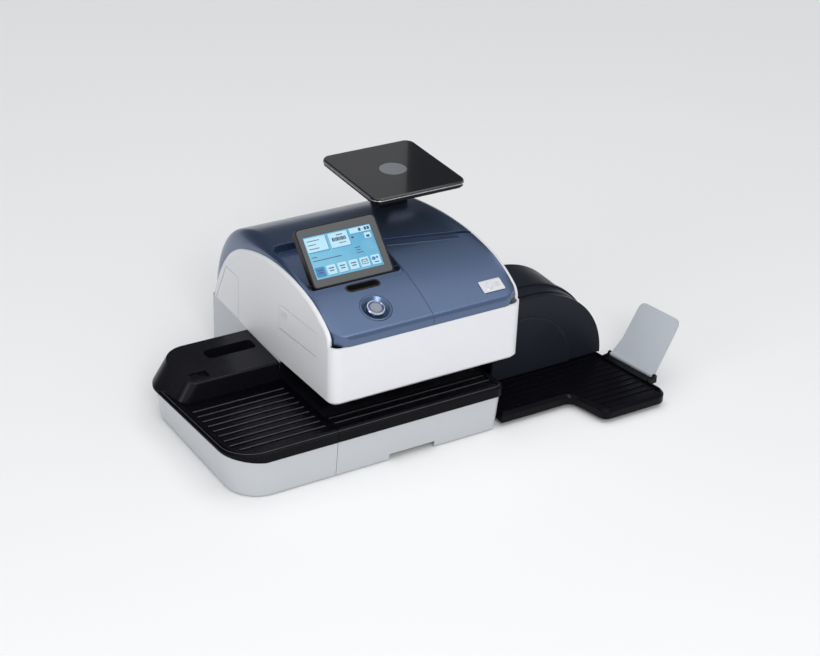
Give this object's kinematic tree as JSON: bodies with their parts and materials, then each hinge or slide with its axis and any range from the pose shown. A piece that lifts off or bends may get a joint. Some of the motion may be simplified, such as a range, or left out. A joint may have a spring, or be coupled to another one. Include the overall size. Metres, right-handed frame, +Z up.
{
  "type": "franking machine",
  "caption": "Desktop letter franking machine with ribbed feeder deck, tilting display, arched cover, weighing platform and catch tray.",
  "frame": {"origin": "middle of the machine's footprint at table level", "axes": "+X along the letter path towards the catch tray, +Y towards the back, +Z up"},
  "size_m": [0.6784, 0.4284, 0.278],
  "materials": {
    "silver_plastic": "satin silver paint",
    "black_plastic": "satin black",
    "dark_grey_plastic": "fine satin texture",
    "white_plastic": "fine satin texture",
    "light_grey_plastic": "fine satin texture",
    "blue_plastic": "metallic satin paint",
    "gloss_black": "polished",
    "screen": "lit panel",
    "chrome": "polished",
    "grey_disc": "satin",
    "steel": "ground",
    "sheet_steel": "zinc plated",
    "aluminium": "milled",
    "rubber": "ground",
    "belt": "matte",
    "clear_plastic": "frosted",
    "board": "solder resist",
    "cartridge": "satin",
    "grey_button": "satin"
  },
  "bodies": {
    "machine": {"base_deck": "black_plastic", "base_skirt": "silver_plastic", "bearing_blocks": "dark_grey_plastic", "button_barrel": "chrome", "button_dish": "blue_plastic", "button_spring": "steel", "button_switch": "dark_grey_plastic", "carriage_rails": "steel", "casing": "white_plastic", "catch_tray": "black_plastic", "chassis_plate": "sheet_steel", "control_panel": "blue_plastic", "cross_frame": "sheet_steel", "drive_belt": "belt", "drive_motor": "steel", "exit_housing": "dark_grey_plastic", "feeder_deck": "black_plastic", "feeder_skirt": "silver_plastic", "feeder_tower": "black_plastic", "grip_cup": "black_plastic", "hinge_pins": "steel", "load_cell": "aluminium", "main_board": "board", "platform_post": "black_plastic", "platform_tray": "black_plastic", "platter": "gloss_black", "platter_disc": "grey_disc", "power_supply": "sheet_steel", "press_pivots": "steel", "rear_cover": "blue_plastic", "rear_housing": "light_grey_plastic", "rear_sockets": "black_plastic", "rubber_feet": "rubber", "screws": "steel", "side_panel": "white_plastic", "transport_plate": "black_plastic", "waste_ink_tray": "dark_grey_plastic"},
    "lid": {"cartridge_lid": "blue_plastic", "lid_badge": "chrome"},
    "side_door_body": {"side_door": "white_plastic"},
    "display": {"display_housing": "black_plastic", "display_bezel": "gloss_black", "display_screen": "screen"},
    "button": {"start_button": "grey_button"},
    "switch": {"tower_switch": "black_plastic"},
    "jam_cover": {"exit_cover": "dark_grey_plastic"},
    "flap": {"stop_flap": "clear_plastic"},
    "feed_in": {"in_shaft": "steel", "in_tyres": "rubber", "in_pulley": "dark_grey_plastic"},
    "feed_out": {"out_shaft": "steel", "out_tyres": "rubber", "out_pulley": "dark_grey_plastic"},
    "motor": {"motor_pulley": "steel"},
    "arm_in": {"in_press_arm": "sheet_steel"},
    "arm_out": {"out_press_arm": "sheet_steel"},
    "roller_in": {"in_press_roller": "rubber"},
    "roller_out": {"out_press_roller": "rubber"},
    "carriage": {"print_carriage": "dark_grey_plastic", "ink_cartridge": "cartridge"}
  },
  "joints": [
    {"name": "lid_hinge", "type": "hinge", "parent": "machine", "child": "lid", "pos_m": [-0.03757, -0.00024, 0.22147], "axis": [-0.98, 0.198, 0.022], "range_deg": [0, 55]},
    {"name": "side_door_hinge", "type": "hinge", "parent": "machine", "child": "side_door_body", "pos_m": [-0.18597, -0.09924, 0.1456], "axis": [0, -0.9955, 0.0946], "range_deg": [0, 75]},
    {"name": "display_tilt", "type": "hinge", "parent": "machine", "child": "display", "pos_m": [-0.16997, -0.05104, 0.2156], "axis": [1, 0, 0], "range_deg": [-36, 20]},
    {"name": "start_press", "type": "slide", "parent": "machine", "child": "button", "axis": [0, 0.3662, -0.9305], "range_m": [0, 0.002], "stiffness_N_per_m": 300, "springref_m": -0.002, "deforming": ["button_spring"]},
    {"name": "mode_switch", "type": "slide", "parent": "machine", "child": "switch", "axis": [1, 0, 0], "range_m": [0, 0.008]},
    {"name": "jam_cover_hinge", "type": "hinge", "parent": "machine", "child": "jam_cover", "pos_m": [0.26453, -0.03774, 0.03], "axis": [0, 1, 0], "range_deg": [0, 60]},
    {"name": "flap_hinge", "type": "hinge", "parent": "machine", "child": "flap", "pos_m": [0.27943, -0.09524, 0.0225], "axis": [0.1936, -0.9811, 0], "range_deg": [0, 115]},
    {"name": "feed_in_spin", "type": "hinge", "parent": "machine", "child": "feed_in", "pos_m": [-0.11857, -0.0482, 0.04993], "axis": [0, 0.9978, -0.0663], "continuous": true},
    {"name": "feed_out_spin", "type": "hinge", "parent": "machine", "child": "feed_out", "pos_m": [0.01643, -0.0482, 0.04993], "axis": [0, 0.9978, -0.0663], "continuous": true},
    {"name": "motor_spin", "type": "hinge", "parent": "machine", "child": "motor", "pos_m": [-0.05107, -0.04964, 0.02828], "axis": [0, 0.9978, -0.0663], "continuous": true},
    {"name": "arm_in_lift", "type": "hinge", "parent": "machine", "child": "arm_in", "pos_m": [-0.15057, -0.04496, 0.09863], "axis": [0, -0.9978, 0.0663], "range_deg": [0, 15], "stiffness_Nm_per_rad": 0.3, "springref_deg": -17.19},
    {"name": "roller_in_spin", "type": "hinge", "parent": "arm_in", "child": "roller_in", "pos_m": [-0.11857, -0.04665, 0.07323], "axis": [0, 0.9978, -0.0663], "continuous": true},
    {"name": "arm_out_lift", "type": "hinge", "parent": "machine", "child": "arm_out", "pos_m": [-0.01557, -0.04496, 0.09863], "axis": [0, -0.9978, 0.0663], "range_deg": [0, 15], "stiffness_Nm_per_rad": 0.3, "springref_deg": -17.19},
    {"name": "roller_out_spin", "type": "hinge", "parent": "arm_out", "child": "roller_out", "pos_m": [0.01643, -0.04665, 0.07323], "axis": [0, 0.9978, -0.0663], "continuous": true},
    {"name": "carriage_slide", "type": "slide", "parent": "machine", "child": "carriage", "axis": [0, -1, 0], "range_m": [0, 0.034]}
  ],
  "couplings": [
    {"joint": "feed_out_spin", "follows": "feed_in_spin", "ratio": 1},
    {"joint": "motor_spin", "follows": "feed_in_spin", "ratio": 1.875},
    {"joint": "roller_in_spin", "follows": "feed_in_spin", "ratio": -1.3},
    {"joint": "roller_out_spin", "follows": "feed_in_spin", "ratio": -1.3}
  ]
}
